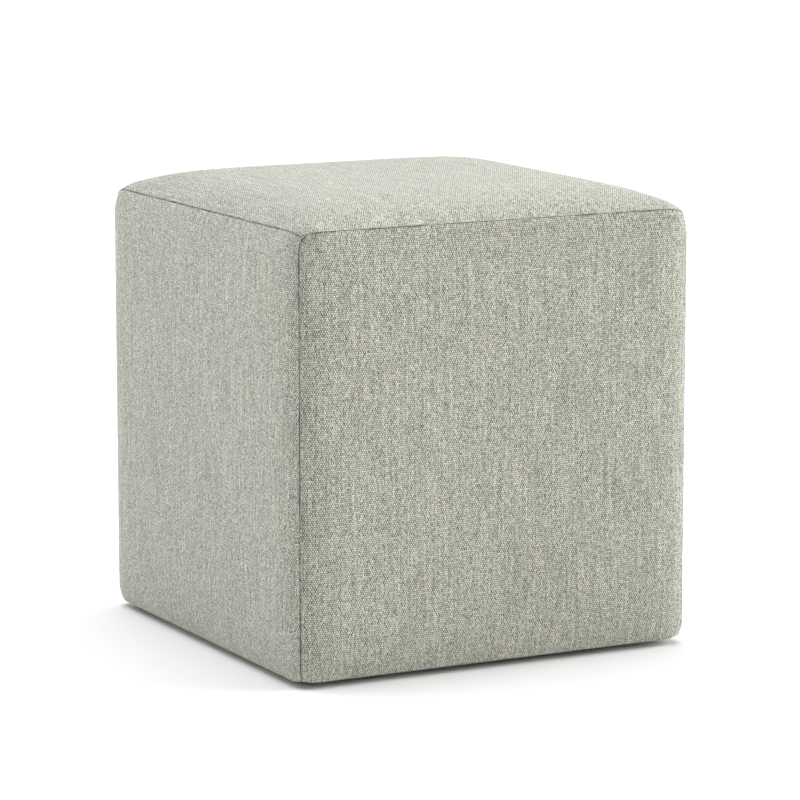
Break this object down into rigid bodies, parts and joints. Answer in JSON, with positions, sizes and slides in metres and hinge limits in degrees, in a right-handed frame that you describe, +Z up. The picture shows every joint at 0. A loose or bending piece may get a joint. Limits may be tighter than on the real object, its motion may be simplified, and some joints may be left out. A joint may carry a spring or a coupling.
{
  "type": "cube pouf stool",
  "caption": "Cube pouf stool: crowned top panel and upright side panels of woven cloth, sewn along softly rounded edges, standing just clear of the floor.",
  "frame": {"origin": "on the floor under the middle of the stool", "axes": "+Z up, +Y to the back, +X to the right seen from the front"},
  "size_m": [0.43, 0.43, 0.4457],
  "materials": {
    "melange_cloth": "matt woven upholstery cloth, pale grey-beige melange",
    "base_cloth": "matt black non-woven cloth",
    "glide_plastic": "moulded, slightly worn"
  },
  "bodies": {
    "root": {"top_panel": "melange_cloth", "front_panel": "melange_cloth", "right_panel": "melange_cloth", "back_panel": "melange_cloth", "left_panel": "melange_cloth", "base_cloth": "base_cloth", "glide_front_left": "glide_plastic", "glide_front_right": "glide_plastic", "glide_back_left": "glide_plastic", "glide_back_right": "glide_plastic"}
  },
  "joints": []
}
